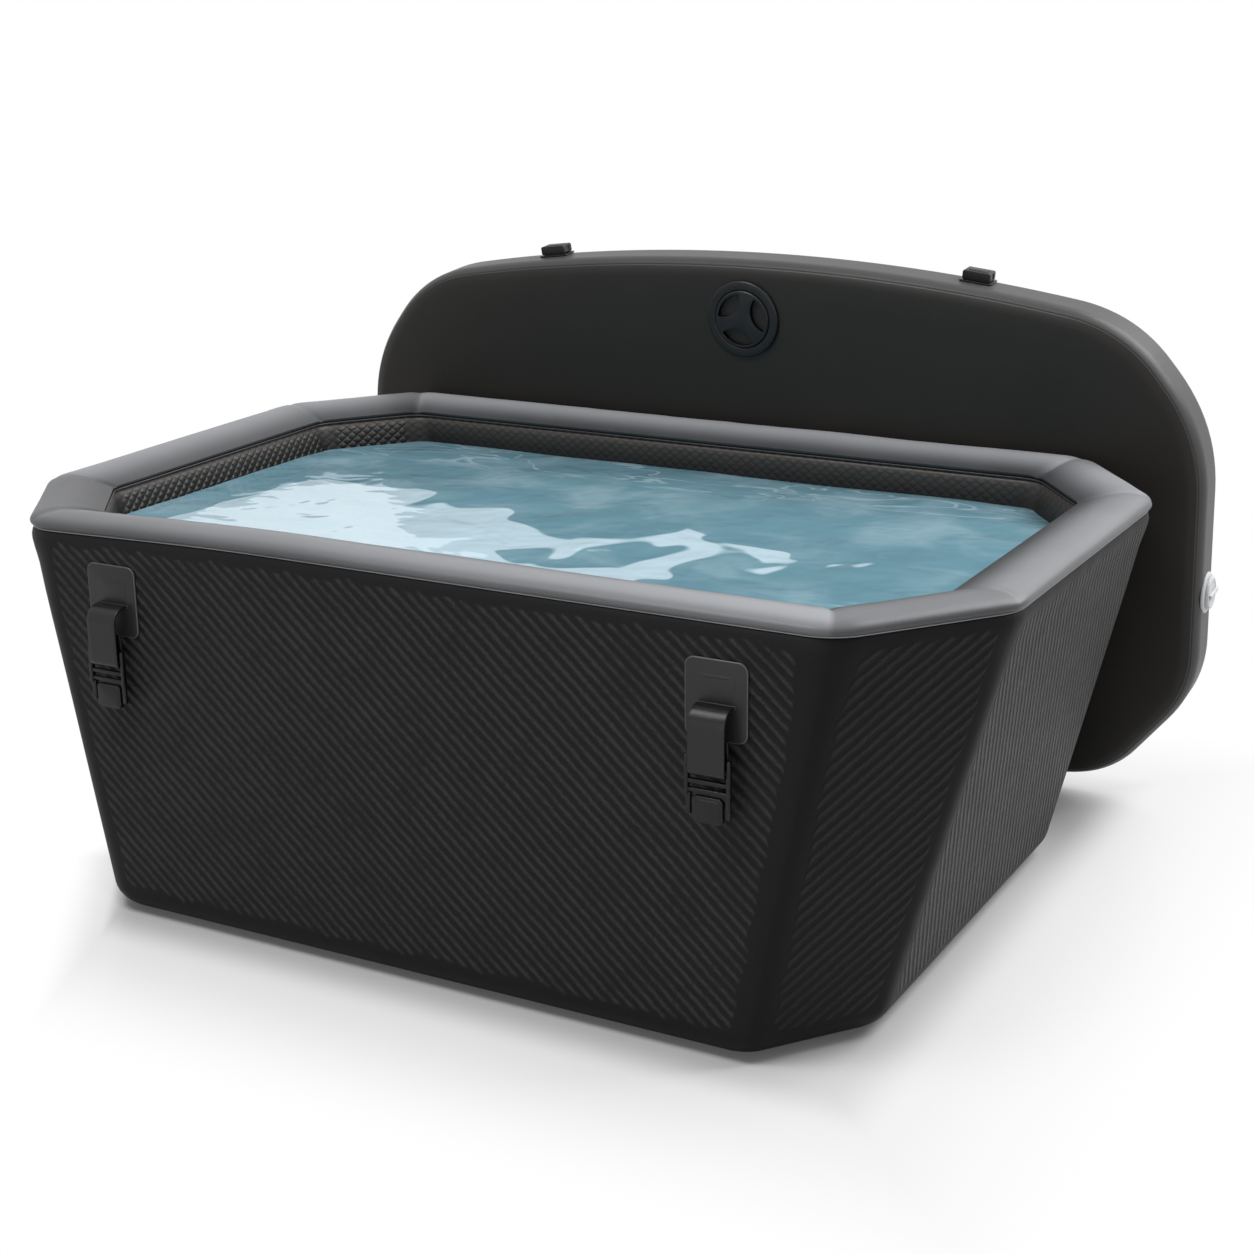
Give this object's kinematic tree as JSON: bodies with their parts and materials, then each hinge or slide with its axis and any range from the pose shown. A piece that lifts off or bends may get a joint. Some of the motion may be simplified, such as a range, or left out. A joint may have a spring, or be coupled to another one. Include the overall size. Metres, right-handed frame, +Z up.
{
  "type": "cold plunge tub",
  "caption": "Inflatable eight-sided cold plunge tub with a padded rim, buckle straps, a drain and valves, and a separate padded lid that leans on the rear rim.",
  "frame": {"origin": "middle of the tub's underside, on the floor", "axes": "+X along the tub's length towards its right end as seen from the front, -Y out of the front wall that carries the straps, +Z up"},
  "size_m": [1.5396, 1.1693, 0.854],
  "materials": {
    "wall_pvc": "ribbed matt PVC",
    "rim_pvc": "smooth satin PVC",
    "floor_pvc": "embossed matt PVC",
    "lid_pvc": "fine matt PVC",
    "band_pvc": "smooth satin PVC",
    "webbing": "woven webbing",
    "black_plastic": "moulded satin",
    "white_plastic": "moulded gloss",
    "seal_rubber": "matt",
    "spring_steel": "bright wire"
  },
  "bodies": {
    "tub": {"wall_front": "wall_pvc", "wall_front_right": "wall_pvc", "wall_right": "wall_pvc", "wall_back_right": "wall_pvc", "wall_back": "wall_pvc", "wall_back_left": "wall_pvc", "wall_left": "wall_pvc", "wall_front_left": "wall_pvc", "rim_front": "rim_pvc", "rim_front_right": "rim_pvc", "rim_right": "rim_pvc", "rim_back_right": "rim_pvc", "rim_back": "rim_pvc", "rim_back_left": "rim_pvc", "rim_left": "rim_pvc", "rim_front_left": "rim_pvc", "outer_seam_welt": "rim_pvc", "inner_seam_welt": "rim_pvc", "floor_panel": "floor_pvc", "base_sheet": "floor_pvc", "left_patch": "rim_pvc", "right_patch": "rim_pvc", "left_strap_root": "webbing", "right_strap_root": "webbing", "tub_valve_gasket": "seal_rubber", "tub_valve_body": "white_plastic", "tub_valve_nut": "white_plastic", "tub_valve_spring": "spring_steel", "drain_gasket": "seal_rubber", "drain_body": "black_plastic", "drain_nut": "black_plastic"},
    "lid": {"lid_core": "lid_pvc", "lid_band": "band_pvc", "port_gasket": "seal_rubber", "port_body": "black_plastic", "left_socket_tab": "webbing", "right_socket_tab": "webbing", "left_buckle_socket": "black_plastic", "right_buckle_socket": "black_plastic", "lid_valve_gasket": "seal_rubber", "lid_valve_body": "white_plastic", "lid_valve_nut": "white_plastic", "lid_valve_spring": "spring_steel"},
    "left_strap": {"left_strap": "webbing"},
    "left_plug": {"left_buckle_plug": "black_plastic"},
    "right_strap": {"right_strap": "webbing"},
    "right_plug": {"right_buckle_plug": "black_plastic"},
    "port_cap": {"port_cap": "black_plastic"},
    "lid_valve_cap": {"lid_valve_cap": "white_plastic"},
    "lid_valve_stem": {"lid_valve_stem": "white_plastic"},
    "tub_valve_cap": {"tub_valve_cap": "white_plastic"},
    "tub_valve_stem": {"tub_valve_stem": "white_plastic"},
    "drain_cap": {"drain_cap": "black_plastic"}
  },
  "joints": [
    {"name": "lid_lift", "type": "slide", "parent": "tub", "child": "lid", "axis": [0, 0, 1], "range_m": [0, 0.65]},
    {"name": "left_strap_swing", "type": "hinge", "parent": "tub", "child": "left_strap", "pos_m": [-0.455, -0.5234, 0.44341], "axis": [-1, 0, 0], "range_deg": [0, 160]},
    {"name": "left_plug_tilt", "type": "hinge", "parent": "left_strap", "child": "left_plug", "pos_m": [-0.455, -0.51484, 0.38968], "axis": [-1, 0, 0], "range_deg": [0, 60]},
    {"name": "right_strap_swing", "type": "hinge", "parent": "tub", "child": "right_strap", "pos_m": [0.455, -0.5234, 0.44341], "axis": [-1, 0, 0], "range_deg": [0, 160]},
    {"name": "right_plug_tilt", "type": "hinge", "parent": "right_strap", "child": "right_plug", "pos_m": [0.455, -0.51484, 0.38968], "axis": [-1, 0, 0], "range_deg": [0, 60]},
    {"name": "port_cap_turn", "type": "hinge", "parent": "lid", "child": "port_cap", "pos_m": [0.026, 0.47924, 0.75562], "axis": [0, -0.9945, -0.1045], "range_deg": [0, 90]},
    {"name": "lid_valve_cap_turn", "type": "hinge", "parent": "lid", "child": "lid_valve_cap", "pos_m": [0.771, 0.56434, 0.37644], "axis": [1, 0, 0], "range_deg": [0, 90]},
    {"name": "lid_valve_stem_press", "type": "slide", "parent": "lid", "child": "lid_valve_stem", "axis": [1, 0, 0], "range_m": [-0.006, 0], "stiffness_N_per_m": 600, "springref_m": 0.001, "deforming": ["lid_valve_spring"]},
    {"name": "tub_valve_cap_turn", "type": "hinge", "parent": "tub", "child": "tub_valve_cap", "pos_m": [-0.71342, 0.13, 0.42], "axis": [-0.9688, 0, -0.2478], "range_deg": [0, 90]},
    {"name": "tub_valve_stem_press", "type": "slide", "parent": "tub", "child": "tub_valve_stem", "axis": [-0.9688, 0, -0.2478], "range_m": [-0.006, 0], "stiffness_N_per_m": 600, "springref_m": 0.001, "deforming": ["tub_valve_spring"]},
    {"name": "drain_cap_turn", "type": "hinge", "parent": "tub", "child": "drain_cap", "pos_m": [-0.63823, 0, 0.126], "axis": [-0.9688, 0, -0.2478], "range_deg": [0, 540]}
  ]
}
